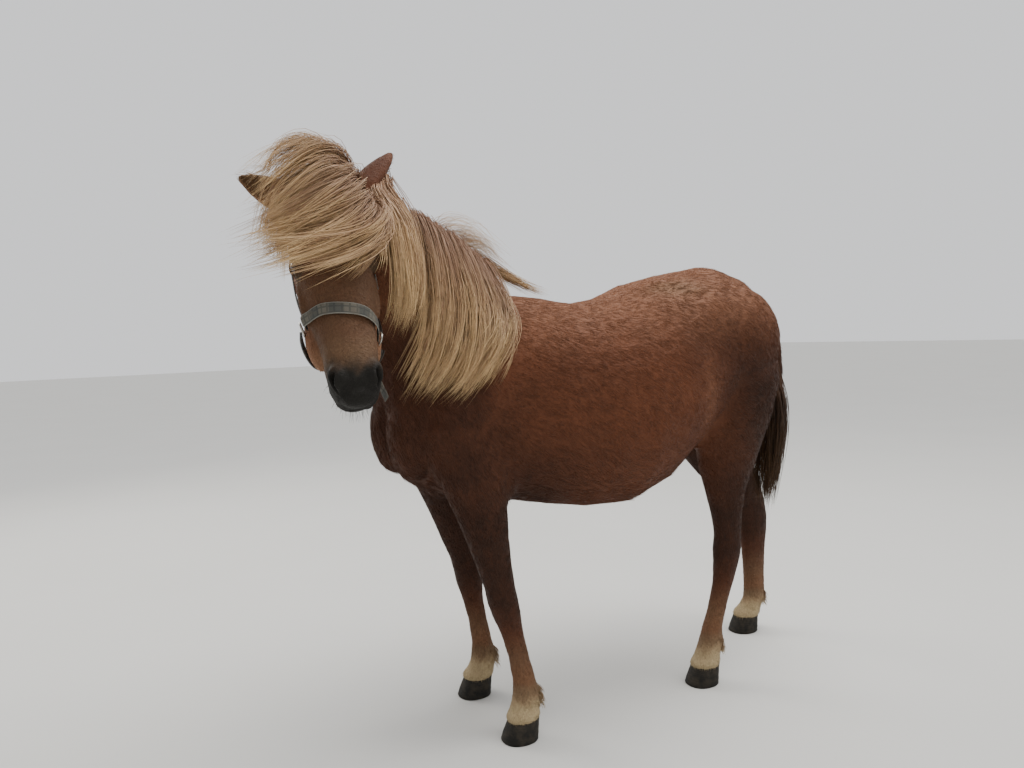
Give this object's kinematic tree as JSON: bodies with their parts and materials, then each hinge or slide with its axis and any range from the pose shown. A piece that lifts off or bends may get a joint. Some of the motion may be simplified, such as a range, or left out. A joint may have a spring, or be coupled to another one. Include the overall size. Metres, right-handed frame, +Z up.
{
  "type": "pony",
  "caption": "Life-size standing Shetland pony with its head turned left, thick mane, forelock and tail, and a halter.",
  "frame": {"origin": "on the floor, under the middle of the model's box", "axes": "+Z up, the pony stands facing -Y, its left side is towards +X"},
  "size_m": [0.5502, 1.5062, 1.3035],
  "materials": {
    "coat": "short rough chestnut coat",
    "tail_hair": "dark brown hair",
    "horn": "dull hoof horn",
    "eye": "wet gloss",
    "webbing": "woven webbing",
    "strap": "matt",
    "fittings": "satin"
  },
  "bodies": {
    "root": {"torso": "coat", "neck": "coat", "head": "coat", "ear_left": "coat", "ear_right": "coat", "eye_left": "eye", "eye_right": "eye", "foreleg_left": "coat", "foreleg_right": "coat", "hindleg_left": "coat", "hindleg_right": "coat", "hoof_fore_left": "horn", "hoof_fore_right": "horn", "hoof_hind_left": "horn", "hoof_hind_right": "horn", "tail": "tail_hair", "halter_noseband": "webbing", "halter_strap_end": "webbing", "halter_cheek_left": "strap", "halter_cheek_right": "strap", "halter_crown": "strap", "halter_chin_strap": "strap", "halter_ring_left": "fittings", "halter_ring_right": "fittings", "halter_buckle": "fittings"}
  },
  "joints": []
}
